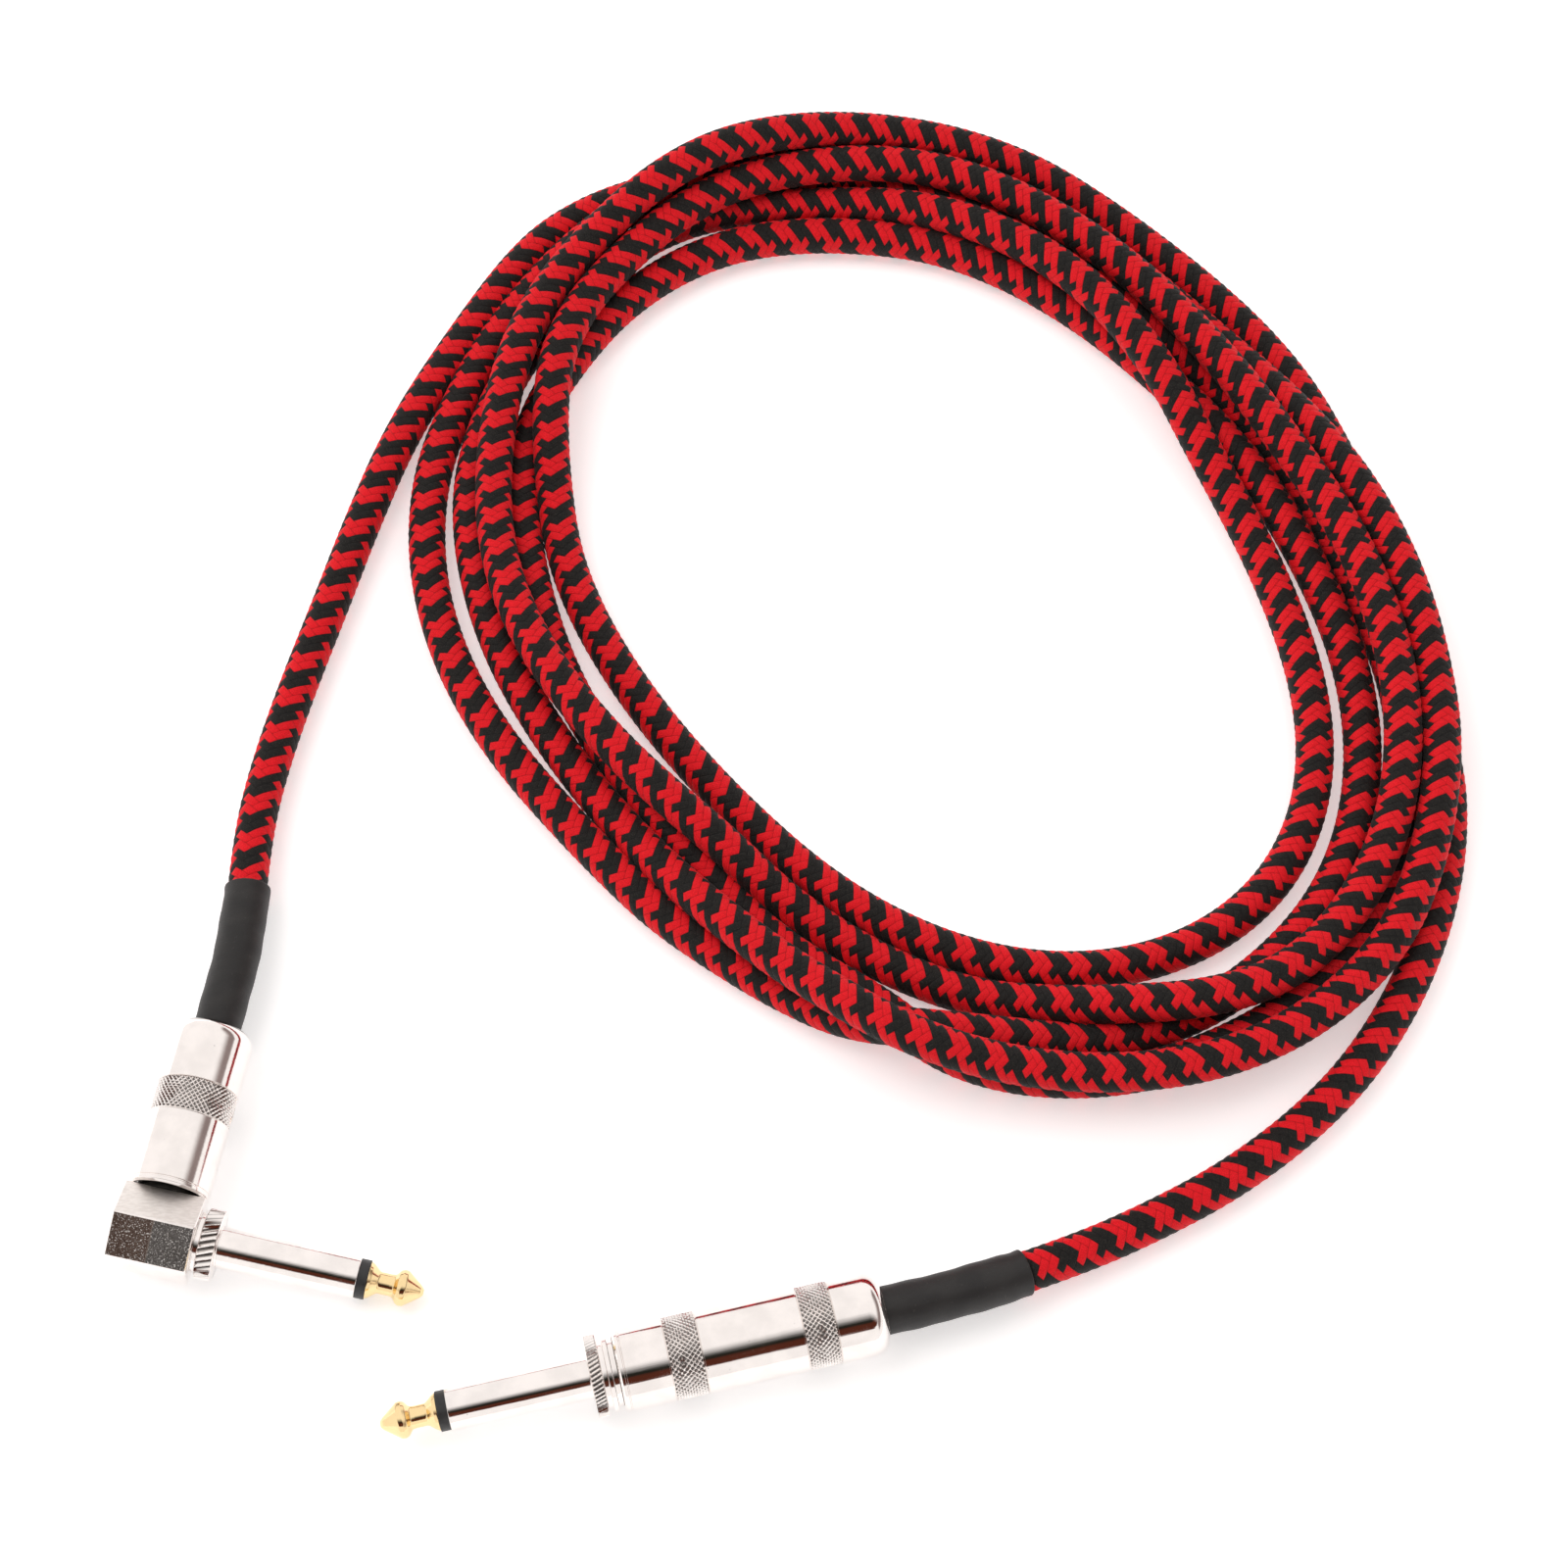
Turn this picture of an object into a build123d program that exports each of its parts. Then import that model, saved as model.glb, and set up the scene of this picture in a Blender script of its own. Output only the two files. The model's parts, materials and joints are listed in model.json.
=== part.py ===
from build123d import *
import os
from math import atan, cos, pi, radians, sin, tan

# Instrument cable: a textile-jacketed cable in a loose coil, with a straight and a right-angle 6.35 mm plug.
# Millimetres, +Z up, everything lies on the floor at Z = 0. +X runs along the straight plug, away from its tip.
# The origin is on the floor, at the middle of the box round the two plugs.

# Cable
CABLE_R = 3.15
DIELECTRIC_R = 1.3
CONDUCTOR_R = 0.45
PIGTAIL_R = 0.55

# Plug shank, measured from the collar's front face (the tip is on the negative side)
SHANK_R = 3.175
TIP_X = -31.5
TIP_BACK_X = -22.9
RING_BACK_X = -21.4
TIP_BULB_X = -28.6
TIP_BULB_R = 2.85
RING_R = 3.0
ROD_R = 1.3
TUBE_R = 2.0
FIT = 0.02

# Screwed barrel: plain cylinders stand in for its thread
BARREL_R = 6.25
BARREL_EDGE = 0.35
BARREL_REAR_ROUND = 2.6
THREAD_R = 4.6
THREAD_LENGTH = 7.0
RUNNING_GAP = 0.05
CHAMBER_R = 5.25
LINER_WALL = 0.4
REAR_WALL = 2.8
REAR_HOLE_R = 3.95

# Heat-shrink sleeve
SLEEVE_INNER_R = 3.2
SLEEVE_R = 3.7
SLEEVE_BEND = 19.5
SLEEVE_TURN = 10.8

# Earth strip and clamp
STRIP_INNER_R = 3.7
STRIP_OUTER_R = 4.35
STRIP_SPAN = 66
CLAW_SPAN = 250
CLAW_INNER_R = 3.2
FOOT_THICK = 0.6
LUG_THICK = 0.6
LUG_TOP = -0.6
SOLDER_R = 1.5
WIRE_GAP = 0.12

# Straight plug: distances from the collar's front face
STRAIGHT_COLLAR_R = 6.1
STRAIGHT_COLLAR = 1.8
STRAIGHT_BARREL = (4.2, 44.7)
STRAIGHT_SLEEVE_END = 67.0

# Angle plug: distances from the middle of the head
HEAD_FLATS = 12.0
HEAD_LENGTH = 12.4
HEAD_EDGE = 0.5
ANGLE_COLLAR_R = 5.35
ANGLE_COLLAR = 2.6
ANGLE_COLLAR_FACE = 9.6
ANGLE_BARREL = (6.15, 33.6)
ANGLE_SLEEVE_END = 58.0

# Where the plugs lie
STRAIGHT_PLUG = (0.0, -42.0)
ANGLE_HEAD = (-59.3, -6.3)
SHANK_HEADING = -24.0
SLEEVE_BEND_STRAIGHT = -45.0
SLEEVE_BEND_ANGLE = -111.8

# The coil: a ring between two ellipses, each (centre, half lengths, heading of the long half)
COIL_OUTSIDE = ((80.8, 76.1), (101.5, 79.0), 115.2)
COIL_INSIDE = ((82.1, 77.8), (74.0, 47.5), 109.7)
COIL_HEIGHT = 16.0
COIL_EDGE = 4.0

# The free tails, from each plug's sleeve to the coil; the first point comes from the sleeve
TAIL_STRAIGHT = [
    (89.0, -36.8, 3.25),
    (101.5, -33.4, 3.2),
    (115.0, -27.6, 3.2),
    (127.0, -20.0, 3.2),
    (138.0, -9.4, 3.2),
    (146.5, 2.5, 3.2),
    (152.4, 15.0, 3.2),
    (155.5, 27.5, 3.2),
]
TAIL_ANGLE = [
    (-31.0, 68.4, 3.25),
    (-24.3, 81.6, 3.2),
    (-16.5, 95.5, 3.2),
    (-8.6, 110.0, 3.2),
    (0.6, 125.2, 3.2),
    (12.4, 139.4, 3.2),
]


def turned(*outline, turn=360):
    """A solid of revolution about X, from (x, radius) points."""
    edges = Polyline(*[(x, 0, r) for x, r in outline], close=True)
    return revolve(make_face(edges), Axis.X, turn)


def ring(x_start, x_end, inner, outer):
    return turned((x_start, inner), (x_start, outer), (x_end, outer), (x_end, inner))


def rod(x_start, x_end, radius):
    return turned((x_start, 0), (x_start, radius), (x_end, radius), (x_end, 0))


def wedge(x_start, x_end, inner, outer, span):
    """A piece of a ring, centred on the underside (-Z)."""
    piece = turned((x_start, inner), (x_start, outer), (x_end, outer), (x_end, inner), turn=span)
    return piece.rotate(Axis.X, 180 - span / 2)


# Shank, in its own frame: X from the collar's front face towards the cable

def tip(rod_end):
    """The contact: a blunt cone, a bulb and a waist, on a rod that runs back through the shank."""
    nose_r = 0.6
    waist_r = 1.6
    shape = turned(
        (TIP_X, 0), (TIP_X, nose_r), (TIP_X + 0.35, nose_r + 0.5), (TIP_BULB_X - 0.4, TIP_BULB_R - 0.1),
        (TIP_BULB_X, TIP_BULB_R), (TIP_BULB_X + 1.1, TIP_BULB_R - 0.2), (TIP_BULB_X + 2.1, waist_r),
        (TIP_BACK_X - 1.6, waist_r), (TIP_BACK_X - 0.5, TIP_BULB_R), (TIP_BACK_X, TIP_BULB_R),
        (TIP_BACK_X, ROD_R), (rod_end, ROD_R), (rod_end, 0),
    )
    return shape


def tip_insulator(tube_end):
    """The black ring behind the tip, in one piece with the tube round the rod."""
    collar = ring(TIP_BACK_X, RING_BACK_X, ROD_R + FIT, RING_R)
    return collar + ring(RING_BACK_X, tube_end, ROD_R + FIT, TUBE_R)


def straight_sleeve():
    """Shank, collar, neck with its thin ring, and the stub that the barrel screws on."""
    stub_end = STRAIGHT_BARREL[0] + THREAD_LENGTH
    neck_r = 5.2
    thin_ring_r = 5.85
    return turned(
        (RING_BACK_X, TUBE_R + FIT), (RING_BACK_X, SHANK_R), (0, SHANK_R), (0, STRAIGHT_COLLAR_R),
        (STRAIGHT_COLLAR, STRAIGHT_COLLAR_R), (STRAIGHT_COLLAR, neck_r), (2.6, neck_r), (2.6, thin_ring_r),
        (3.3, thin_ring_r), (3.3, neck_r), (STRAIGHT_BARREL[0], neck_r), (STRAIGHT_BARREL[0], THREAD_R),
        (stub_end, THREAD_R), (stub_end, TUBE_R + FIT),
    )


def angle_sleeve():
    """Shank and collar, with a spigot pressed into the head."""
    face = ANGLE_COLLAR_FACE - HEAD_LENGTH / 2
    neck_r = 4.5
    spigot_r = 4.0
    spigot_length = 3.6
    return turned(
        (RING_BACK_X, TUBE_R + FIT), (RING_BACK_X, SHANK_R), (0, SHANK_R), (0, ANGLE_COLLAR_R),
        (ANGLE_COLLAR, ANGLE_COLLAR_R), (ANGLE_COLLAR, neck_r), (face, neck_r), (face, spigot_r),
        (face + spigot_length, spigot_r), (face + spigot_length, TUBE_R + FIT),
    )


# Barrel end, in its own frame: X towards the cable, Z away from the earth strip

def barrel(start, end):
    """A screwed tube with a rounded rear end and a hole for the sleeve."""
    body = rod(start, end, BARREL_R)
    body = chamfer(body.edges().sort_by(Axis.X)[0], BARREL_EDGE)
    body = fillet(body.edges().sort_by(Axis.X)[-1], BARREL_REAR_ROUND)
    thread_end = start + THREAD_LENGTH
    hollow = turned(
        (start, 0), (start, THREAD_R + RUNNING_GAP), (thread_end, THREAD_R + RUNNING_GAP),
        (thread_end, CHAMBER_R), (end - REAR_WALL, CHAMBER_R), (end - REAR_WALL, REAR_HOLE_R),
        (end, REAR_HOLE_R), (end, 0),
    )
    return body - hollow


def liner(start, end):
    """The insulating tube that rides inside the barrel without turning with it."""
    outer = CHAMBER_R - RUNNING_GAP
    return ring(start + THREAD_LENGTH + 0.2, end - REAR_WALL - 0.2, outer - LINER_WALL, outer)


def ground_clamp(stub_end, claw_start, claw_end):
    """A foot against the stub, a curved strip, and claws round the cable."""
    foot = ring(stub_end, stub_end + FOOT_THICK, 3.0, STRIP_OUTER_R)
    strip = wedge(stub_end, claw_end, STRIP_INNER_R, STRIP_OUTER_R, STRIP_SPAN)
    claws = wedge(claw_start, claw_end, CLAW_INNER_R, STRIP_INNER_R + 0.1, CLAW_SPAN)
    return foot + strip + claws


def lug_tongue(start, end):
    width = 3.0
    corner = (start, -width / 2, LUG_TOP - LUG_THICK)
    return Pos(*corner) * Box(end - start, width, LUG_THICK, align=(Align.MIN, Align.MIN, Align.MIN))


def conductor(start, end):
    return rod(start, end, CONDUCTOR_R)


def dielectric(start, jacket_end):
    return rod(start, jacket_end, DIELECTRIC_R)


def pigtail(start, jacket_end):
    """The twisted shield, from the jacket's cut end down on to the earth strip."""
    drop = -(STRIP_INNER_R - PIGTAIL_R - WIRE_GAP)
    route = FilletPolyline(
        (jacket_end, 0, -2.2), (jacket_end - 1.2, 0, -2.3), (jacket_end - 2.8, 0, drop), (start, 0, drop),
        radius=0.8,
    )
    return sweep(Plane(origin=route @ 0, z_dir=route % 0) * Circle(PIGTAIL_R), path=route)


def solder(x, z, *joined):
    """A drop of solder, the part above what it joins."""
    drop = Pos(x, 0, z) * Sphere(SOLDER_R)
    for piece in joined:
        drop = drop - piece
    return drop.solids().sort_by(Axis.Z)[-1]


# Heat-shrink sleeve and the cable inside it: straight, then a slight bend

def sleeve_bend(end):
    """Where the bend starts, and its radius, for a sleeve that ends here when it is straight."""
    return end - SLEEVE_BEND, SLEEVE_BEND / radians(SLEEVE_TURN)


def bent(section, start, end, bend_heading):
    """A tube or rod of this section from start, bent towards bend_heading over its last stretch."""
    bend_start, bend_r = sleeve_bend(end)
    side = Vector(0, cos(radians(bend_heading)), sin(radians(bend_heading)))
    pivot = Axis(Vector(bend_start, 0, 0) + side * bend_r, Vector(1, 0, 0).cross(side))
    straight = extrude(Plane.YZ.offset(start) * section, bend_start - start)
    return straight + revolve(Plane.YZ.offset(bend_start) * section, pivot, SLEEVE_TURN)


def sleeve_exit(end, bend_heading):
    """The middle and the direction of the sleeve's far end."""
    bend_start, bend_r = sleeve_bend(end)
    side = Vector(0, cos(radians(bend_heading)), sin(radians(bend_heading)))
    along = Vector(1, 0, 0)
    turn = radians(SLEEVE_TURN)
    point = along * (bend_start + bend_r * sin(turn)) + side * (bend_r * (1 - cos(turn)))
    return point, along * cos(turn) + side * sin(turn)


# Head of the angle plug, in the barrel end's frame: the shank leaves along +Z

def angle_head():
    """A hexagonal block with a stub for the barrel, bored for the spigot and for the lug."""
    half = HEAD_LENGTH / 2
    outline = Rot(0, 0, 30) * RegularPolygon(HEAD_FLATS / 2, 6, major_radius=False)
    block = extrude(Plane.XY.offset(-half) * outline, HEAD_LENGTH)
    block = chamfer(block.faces().sort_by(Axis.Z)[-1].edges(), HEAD_EDGE)
    block = chamfer(block.faces().sort_by(Axis.Z)[0].edges(), HEAD_EDGE)
    stub_end = ANGLE_BARREL[0] + THREAD_LENGTH
    block = block + rod(0, stub_end, THREAD_R)
    spigot_depth = 3.6
    spigot_hole = Pos(0, 0, half) * Cylinder(4.0 + FIT, 2 * spigot_depth)
    well = Pos(0, 0, -1.2) * Cylinder(2.9, 2 * (half - spigot_depth + 1.2))
    return block - spigot_hole - well - rod(0, stub_end, 2.9)


def angle_lug(end):
    """An eye on the rod's end and a tongue out through the stub."""
    eye_r = 2.2
    eye = Pos(0, 0, LUG_TOP - LUG_THICK / 2) * Cylinder(eye_r, LUG_THICK)
    hole = Pos(0, 0, LUG_TOP - LUG_THICK / 2) * Cylinder(ROD_R, LUG_THICK * 2)
    return eye + lug_tongue(0, end) - hole


def straight_lug(start, end):
    disc = ring(start, start + LUG_THICK, ROD_R, 2.6)
    return disc + lug_tongue(start + LUG_THICK, end)


# Placing

def straight_frame():
    """X towards the cable; the barrel rests on the floor."""
    return Plane(origin=(*STRAIGHT_PLUG, BARREL_R), x_dir=(1, 0, 0), z_dir=(0, 0, 1))


def angle_frames():
    """The barrel end's frame and the shank's frame, resting on the tip, the head's corner and the barrel."""
    corner_r = HEAD_FLATS / 2 / cos(radians(30))
    bulb_reach = ANGLE_COLLAR_FACE - TIP_BULB_X
    dip = atan((corner_r - TIP_BULB_R) / (bulb_reach - HEAD_LENGTH / 2))
    height = bulb_reach * sin(dip) + TIP_BULB_R * cos(dip)
    heading = radians(SHANK_HEADING)
    shank = Vector(cos(heading) * cos(dip), sin(heading) * cos(dip), -sin(dip))
    level = Vector(-sin(heading), cos(heading), 0)
    rest_reach = ANGLE_BARREL[1] - BARREL_REAR_ROUND
    roll = (height - BARREL_R) / rest_reach
    cable_way = level * cos(roll) + level.cross(shank) * sin(roll)
    middle = Vector(*ANGLE_HEAD, height)
    barrel_end = Plane(origin=middle, x_dir=cable_way, z_dir=shank)
    shank_end = Plane(origin=middle + shank * ANGLE_COLLAR_FACE, x_dir=shank * -1, z_dir=cable_way)
    return barrel_end, shank_end


def place(frame, solid):
    return frame.location * solid


def cord_route(start, direction, points):
    """The tail's points, from the sleeve's end straight out for a little and then along the list."""
    lead = 10.0
    return [start, start + direction * lead] + [Vector(*point) for point in points]


def cord_tube(name, points):
    """A tube along straight runs joined by arcs as large as the runs allow."""
    runs = [(points[i + 1] - points[i]) for i in range(len(points) - 1)]
    radii = []
    for before, after in zip(runs, runs[1:]):
        half_turn = radians(before.get_angle(after)) / 2
        radii.append(0.45 * min(before.length, after.length) / tan(half_turn))
    path = FilletPolyline(*points, radius=radii)
    tube = sweep(Plane(origin=path @ 0, z_dir=path % 0) * Circle(CABLE_R), path=path)
    expected = pi * CABLE_R**2 * path.length
    print(name, "runs", [round(run.length, 1) for run in runs], "radii", [round(r) for r in radii])
    print(name, "length %.1f volume ratio %.4f" % (path.length, tube.volume / expected))
    return tube


def ellipse(centre, halves, heading):
    return Pos(*centre) * Rot(0, 0, heading) * Ellipse(*halves)


def coil():
    """The outer shape of all the turns."""
    body = extrude(ellipse(*COIL_OUTSIDE) - ellipse(*COIL_INSIDE), COIL_HEIGHT)
    top = body.faces().sort_by(Axis.Z)[-1]
    return fillet(top.edges(), COIL_EDGE)


def straight_plug():
    """Every piece of the straight plug, in its own frame."""
    start, end = STRAIGHT_BARREL
    stub_end = start + THREAD_LENGTH
    washer_end = stub_end + FOOT_THICK + 0.8
    jacket_end = 25.5
    bend = SLEEVE_BEND_STRAIGHT
    pieces = {
        "tip": tip(washer_end + LUG_THICK),
        "tip_insulator": tip_insulator(stub_end + FOOT_THICK),
        "sleeve": straight_sleeve(),
        "rear_washer": ring(stub_end + FOOT_THICK, washer_end, ROD_R + FIT, STRIP_INNER_R - 0.1),
        "tip_lug": straight_lug(washer_end, 20.5),
        "ground_clamp": ground_clamp(stub_end, 26.5, 30.5),
        "liner": liner(start, end),
        "barrel": barrel(start, end),
        "heat_shrink": bent(Circle(SLEEVE_R) - Circle(SLEEVE_INNER_R), 32.0, STRAIGHT_SLEEVE_END, bend),
        "cord_end": bent(Circle(CABLE_R), jacket_end, STRAIGHT_SLEEVE_END, bend),
        "dielectric": dielectric(21.5, jacket_end),
        "conductor": conductor(15.5, 21.5),
        "shield_pigtail": pigtail(18.5, jacket_end),
    }
    add_solder(pieces, 16.8, 19.8)
    return pieces


def angle_plug():
    """The barrel end of the angle plug, in its own frame."""
    start, end = ANGLE_BARREL
    stub_end = start + THREAD_LENGTH
    jacket_end = 22.5
    bend = SLEEVE_BEND_ANGLE
    pieces = {
        "head": angle_head(),
        "stub_insulator": ring(4.2, stub_end, 2.35, 2.85),
        "tip_lug": angle_lug(19.5),
        "ground_clamp": ground_clamp(stub_end, 23.2, 26.4),
        "liner": liner(start, end),
        "barrel": barrel(start, end),
        "heat_shrink": bent(Circle(SLEEVE_R) - Circle(SLEEVE_INNER_R), 27.2, ANGLE_SLEEVE_END, bend),
        "cord_end": bent(Circle(CABLE_R), jacket_end, ANGLE_SLEEVE_END, bend),
        "dielectric": dielectric(20.5, jacket_end),
        "conductor": conductor(16.0, 20.5),
        "shield_pigtail": pigtail(16.6, jacket_end),
    }
    add_solder(pieces, 17.6, 18.0)
    return pieces


def add_solder(pieces, tip_x, ground_x):
    """Solder round the conductor on its lug, and round the pigtail on its strip."""
    pieces["tip_solder"] = solder(tip_x, LUG_TOP - 0.35, pieces["conductor"], pieces["tip_lug"])
    joint = (pieces["shield_pigtail"], pieces["ground_clamp"])
    pieces["ground_solder"] = solder(ground_x, -STRIP_INNER_R - 0.1, *joint)


def write(pieces, prefix, frame):
    for name, solid in pieces.items():
        export_step(place(frame, solid), f"parts/{prefix}_{name}.step")


os.makedirs("parts", exist_ok=True)

straight = straight_frame()
write(straight_plug(), "straight", straight)

barrel_end, shank_end = angle_frames()
write(angle_plug(), "angle", barrel_end)
rod_end = ANGLE_COLLAR_FACE - LUG_TOP + LUG_THICK
shank_pieces = {"tip": tip(rod_end), "tip_insulator": tip_insulator(ANGLE_COLLAR_FACE - 2.6), "sleeve": angle_sleeve()}
write(shank_pieces, "angle", shank_end)

for name, frame, end, bend, points in (
    ("straight", straight, STRAIGHT_SLEEVE_END, SLEEVE_BEND_STRAIGHT, TAIL_STRAIGHT),
    ("angle", barrel_end, ANGLE_SLEEVE_END, SLEEVE_BEND_ANGLE, TAIL_ANGLE),
):
    local_point, local_direction = sleeve_exit(end, bend)
    point = frame.from_local_coords(local_point)
    direction = frame.from_local_coords(local_point + local_direction) - point
    print(name, "exit", [round(v, 2) for v in point], "direction", [round(v, 4) for v in direction])
    tail = cord_tube(f"cord_tail_{name}", cord_route(point, direction, points))
    export_step(tail, f"parts/cord_tail_{name}.step")

export_step(coil(), "parts/cord_coil.step")
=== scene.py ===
"""Instrument cable: a braided red and black cable in a loose coil, with a straight and a right-angle plug.

Lengths in the building code are millimetres; every mesh is brought to metres as it is made.
"""
import json
import math

import bmesh
import bpy
import numpy as np
from mathutils import Matrix, Vector


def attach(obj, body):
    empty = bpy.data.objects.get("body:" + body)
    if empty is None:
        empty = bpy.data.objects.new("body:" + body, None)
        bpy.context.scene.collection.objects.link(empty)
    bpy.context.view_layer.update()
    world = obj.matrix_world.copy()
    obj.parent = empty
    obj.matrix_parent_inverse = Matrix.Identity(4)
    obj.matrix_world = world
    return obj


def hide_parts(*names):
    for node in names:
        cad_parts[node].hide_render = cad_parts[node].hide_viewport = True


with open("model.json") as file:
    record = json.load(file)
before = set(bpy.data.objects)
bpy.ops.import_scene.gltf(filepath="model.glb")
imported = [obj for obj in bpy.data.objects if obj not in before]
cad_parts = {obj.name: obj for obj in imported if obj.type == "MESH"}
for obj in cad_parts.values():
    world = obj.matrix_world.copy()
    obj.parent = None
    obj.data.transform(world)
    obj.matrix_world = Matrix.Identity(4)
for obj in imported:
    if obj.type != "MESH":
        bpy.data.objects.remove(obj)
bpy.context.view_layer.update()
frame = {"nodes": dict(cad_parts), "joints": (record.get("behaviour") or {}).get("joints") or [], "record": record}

MM = 0.001
RECORD = frame["record"]

# Cable
CABLE_D = 6.3
CARRIERS = 8
BRAID_SLOPE = 1.6
BRAID_RELIEF = 0.10
# how far round the cable the pattern starts
BRAID_TURN = math.radians(33.75)

# Shank, from the collar's front face
SHANK_R = 3.175
TIP_X = -31.5
TIP_BACK_X = -22.9
RING_BACK_X = -21.4
RING_R = 3.0
ROD_R = 1.3
TUBE_R = 2.0
TUBE_BORE_R = 1.32
SHANK_BORE_R = 2.02

# Collars: (length, radius), and their teeth: (number, slant, depth)
STRAIGHT_COLLAR = (1.8, 6.1)
STRAIGHT_TEETH = (54, 0.55, 0.42)
ANGLE_COLLAR = (2.6, 5.35)
ANGLE_TEETH = (30, 0.40, 0.5)
NECK_R = 5.2
FLANGE_R = 5.85
# from the mount, in the middle of the shank, back to the collar's front face
SHANK_MIDDLE = 10.7

# Barrels
BARREL_R = 6.25
BARREL_EDGE = 0.35
BARREL_REAR_ROUND = 2.6
THREAD_R = 4.6
THREAD_LENGTH = 7.0
THREAD_PITCH = 0.8
THREAD_DEPTH = 0.3
RUNNING_GAP = 0.05
CHAMBER_R = 5.25
REAR_WALL = 2.8
REAR_HOLE_R = 3.95
KNURL_PITCH = 0.83
KNURL_DEPTH = 0.30
FINE_SEGMENTS = 384

STRAIGHT_BARREL = (4.2, 44.7)
STRAIGHT_BANDS = ((11.9, 16.7), (32.15, 36.85))
ANGLE_BARREL = (6.15, 33.6)
ANGLE_BANDS = ((18.0, 23.1),)

# Heat-shrink sleeves: (start, end, heading of the bend)
SHRINK_INNER_R = 3.2
SHRINK_R = 3.7
SHRINK_BEND = 19.5
SHRINK_TURN = math.radians(10.8)
STRAIGHT_SHRINK = (32.0, 67.0, math.radians(-45.0))
ANGLE_SHRINK = (27.2, 58.0, math.radians(-111.8))

# Head of the angle plug
HEAD_FLATS = 12.0
HEAD_LENGTH = 12.4
HEAD_EDGE = 0.45
COLLAR_TO_HEAD = 9.6
SPIGOT_R = 4.0
SPIGOT_LENGTH = 3.6
HEAD_BORE_R = 2.9
STUB_CORE_R = 3.2

# Camera
CAMERA_AT = (5.4, -146.8, 448.8)
LOOK_AT = (50.0, 48.0, 0.0)
LENS = 69.09
SENSOR = 36.0

# Studio
STUDIO_WHITE = (1.0, 0.965, 0.945, 1.0)
ROOM_BROWN = (0.085, 0.022, 0.012, 1.0)
ROOM_BLACK = (0.016, 0.015, 0.011, 1.0)
STUDIO_STRENGTH = 1.08
KEY_AT = (-0.35, 0.35, 0.9)
KEY_TARGET = (0.07, 0.05, 0.0)
KEY_SIZE = 0.7
KEY_POWER = 2.4
FLOOR_GLOW = 0.42
FLOOR_HALF = 3.0

# The cable's route: the tails' points are the CAD's
EXIT_STRAIGHT = (66.88, -40.70, 4.95)
LEAD_STRAIGHT = (76.70, -39.37, 3.62)
TAIL_STRAIGHT = [
    (89.0, -36.8, 3.25), (101.5, -33.4, 3.2), (115.0, -27.6, 3.2), (127.0, -20.0, 3.2),
    (138.0, -9.4, 3.2), (146.5, 2.5, 3.2), (152.4, 15.0, 3.2), (155.5, 27.5, 3.2),
]
EXIT_ANGLE = (-37.72, 47.35, 4.59)
LEAD_ANGLE = (-35.45, 57.05, 3.68)
TAIL_ANGLE = [
    (-31.0, 68.4, 3.25), (-24.3, 81.6, 3.2), (-16.5, 95.5, 3.2), (-8.6, 110.0, 3.2),
    (0.6, 125.2, 3.2), (12.4, 139.4, 3.2),
]

# The coil: five and a half turns round one ellipse. Eight stations to a turn, clockwise from the left.
COIL_CENTRE = (82.75, 73.9)
COIL_HALVES = (87.0, 63.5)
COIL_HEADING = math.radians(119.1)
COIL_FIRST = 39.0
COIL_LAST = 5 * 360 + 188
COIL_TURN = 12.9
# how far each turn runs outside the ellipse at each station
OFFSETS = [
    16.0, 9.0, 6.5, 1.5, -0.5, 3.5, 6.0, -1.5,
    -3.0, -7.5, -3.0, -6.0, -7.0, -5.0, 5.0, 8.0,
    13.5, 6.5, 11.0, 6.5, 5.5, 6.5, 8.0, 2.5,
    5.0, 1.5, 2.0, -7.5, -15.0, -13.5, -10.5, -12.5,
    -11.0, -4.0, 9.0, 1.5, -0.5, -0.5, -4.0, -4.0,
    0.0, 2.0, 14.0, 9.5, 5.5, 13.5,
]
# how many cables lie under each turn at each station, before the turns settle on each other
LEVELS = [
    0, 0, 0, 0, 0, 0, 0, 0,
    0, 0, 0, 0, 0, 0.2, 1, 0.2,
    0.2, 1, 0.2, 1, 1, 1, 2, 0.9,
    0, 0, 0.9, 1, 0, 0, 0, 0,
    0, 0.8, 1.5, 1.6, 1, 0.9, 0, 0.9,
    0.9, 1.9, 1, 0, 0, 0,
]


# Camera, light and floor

def make_camera():
    data = bpy.data.cameras.new("camera")
    data.lens = LENS
    data.sensor_width = SENSOR
    data.clip_start = 0.01
    data.clip_end = 50
    camera = bpy.data.objects.new("camera", data)
    camera.location = Vector(CAMERA_AT) * MM
    camera.rotation_mode = "QUATERNION"
    way = (Vector(LOOK_AT) - Vector(CAMERA_AT)).normalized()
    camera.rotation_quaternion = way.to_track_quat("-Z", "Y")
    bpy.context.scene.collection.objects.link(camera)
    bpy.context.scene.camera = camera


# Node trees

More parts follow.
